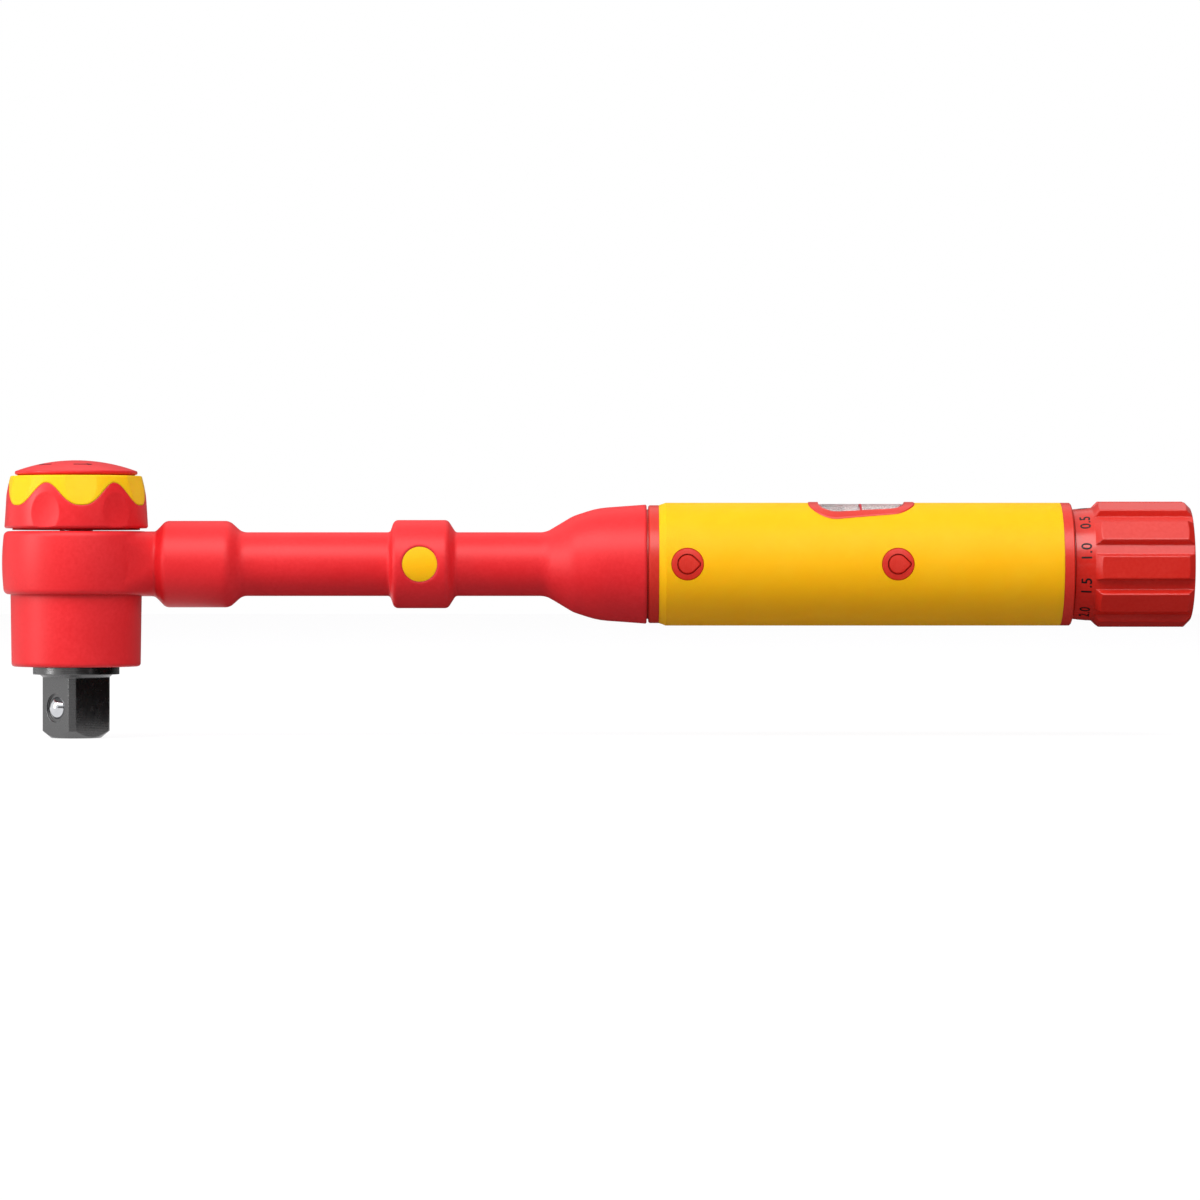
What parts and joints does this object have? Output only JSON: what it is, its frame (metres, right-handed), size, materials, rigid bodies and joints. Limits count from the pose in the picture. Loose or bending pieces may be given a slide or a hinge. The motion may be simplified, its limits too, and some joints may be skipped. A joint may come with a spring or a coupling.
{
  "type": "torque wrench",
  "caption": "Insulated click-type torque wrench: ratchet head with a square drive and a reversing dial, slim neck, grip with a scale window, and a setting knob at the end.",
  "frame": {"origin": "centre of the square drive's tip face", "axes": "+X along the handle from the head to the knob, +Y across the handle, +Z from the drive's tip up through the head to the dial"},
  "size_m": [0.288, 0.0358, 0.0673],
  "materials": {
    "jacket_red": "satin",
    "dial_red": "satin",
    "grip_red": "satin",
    "knob_red": "gloss",
    "yellow_soft": "satin",
    "bush_plastic": "matte",
    "steel": "machined",
    "spring_steel": "oiled",
    "polished_steel": "polished",
    "black_oxide": "satin",
    "brass": "machined",
    "scale_white": "satin",
    "seal_rubber": "matte",
    "clear_lens": "polished"
  },
  "bodies": {
    "handle": {"housing_tube": "steel", "pivot_pin": "steel", "main_spring": "spring_steel", "end_bush": "brass", "knob_seal": "seal_rubber", "grip_sleeve": "grip_red", "grip_cover": "yellow_soft", "window_lens": "clear_lens", "grip_screws": "steel", "grip_plugs": "grip_red"},
    "lever": {"ratchet_lever": "steel", "insulation_jacket": "jacket_red", "marker_plugs": "yellow_soft", "drive_bush": "bush_plastic", "head_cover": "steel", "cover_ring": "spring_steel", "pawl_pins": "steel", "pawl_springs": "spring_steel"},
    "drive": {"drive_spindle": "black_oxide", "ratchet_wheel": "steel", "wheel_circlip": "spring_steel", "ball_spring": "spring_steel"},
    "ball": {"detent_ball": "polished_steel"},
    "pawl_a": {"drive_pawl": "steel"},
    "pawl_b": {"reverse_pawl": "steel"},
    "dial": {"selector_cam": "steel", "reversing_dial": "dial_red", "dial_band": "yellow_soft", "dial_screw": "steel", "dial_cap": "dial_red"},
    "block": {"tilt_block": "steel"},
    "piston": {"plunger": "steel"},
    "setting": {"adjusting_nut": "brass", "scale_carrier": "scale_white", "spring_washer": "steel"},
    "setter": {"adjusting_spindle": "steel", "knob": "knob_red", "knob_screw": "steel", "knob_cap": "knob_red"}
  },
  "joints": [
    {"name": "click_pivot", "type": "hinge", "parent": "handle", "child": "lever", "pos_m": [0.1459, 0, 0.0421], "axis": [0, 0, -1], "range_deg": [0, 1.5], "stiffness_Nm_per_rad": 120, "springref_deg": -5.73},
    {"name": "block_tilt", "type": "hinge", "parent": "handle", "child": "block", "pos_m": [0.1671, 0, 0.0421], "axis": [0, 0, 1], "range_deg": [0, 3.82]},
    {"name": "plunger_slide", "type": "slide", "parent": "handle", "child": "piston", "axis": [1, 0, 0], "range_m": [0, 0.0002]},
    {"name": "drive_spin", "type": "hinge", "parent": "lever", "child": "drive", "pos_m": [0, 0, 0.0421], "axis": [0, 0, 1], "continuous": true},
    {"name": "ball_press", "type": "slide", "parent": "drive", "child": "ball", "axis": [0.7193, 0.6947, 0], "range_m": [0, 0.001], "stiffness_N_per_m": 800, "springref_m": -0.0005, "deforming": ["ball_spring"]},
    {"name": "reverse_dial", "type": "hinge", "parent": "lever", "child": "dial", "pos_m": [0, 0, 0.0421], "axis": [0, 0, 1], "range_deg": [0, 40], "deforming": ["pawl_springs"]},
    {"name": "drive_pawl_rock", "type": "hinge", "parent": "lever", "child": "pawl_a", "pos_m": [0.00577, 0.01098, 0.0421], "axis": [0, 0, 1], "range_deg": [0, 8]},
    {"name": "reverse_pawl_rock", "type": "hinge", "parent": "lever", "child": "pawl_b", "pos_m": [0.00577, -0.01098, 0.0421], "axis": [0, 0, 1], "range_deg": [0, 8]},
    {"name": "knob_turn", "type": "hinge", "parent": "handle", "child": "setter", "pos_m": [0.25, 0, 0.0421], "axis": [-1, 0, 0], "range_deg": [0, 3240]},
    {"name": "setting_slide", "type": "slide", "parent": "handle", "child": "setting", "axis": [-1, 0, 0], "range_m": [0, 0.0135], "deforming": ["main_spring"]}
  ],
  "couplings": [
    {"joint": "block_tilt", "follows": "click_pivot", "ratio": 2.5417},
    {"joint": "plunger_slide", "follows": "click_pivot", "m_per_rad": 0.0076394},
    {"joint": "drive_pawl_rock", "follows": "reverse_dial", "ratio": 0.2},
    {"joint": "reverse_pawl_rock", "follows": "reverse_dial", "ratio": 0.2},
    {"joint": "setting_slide", "follows": "knob_turn", "m_per_rad": 0.00023873}
  ]
}
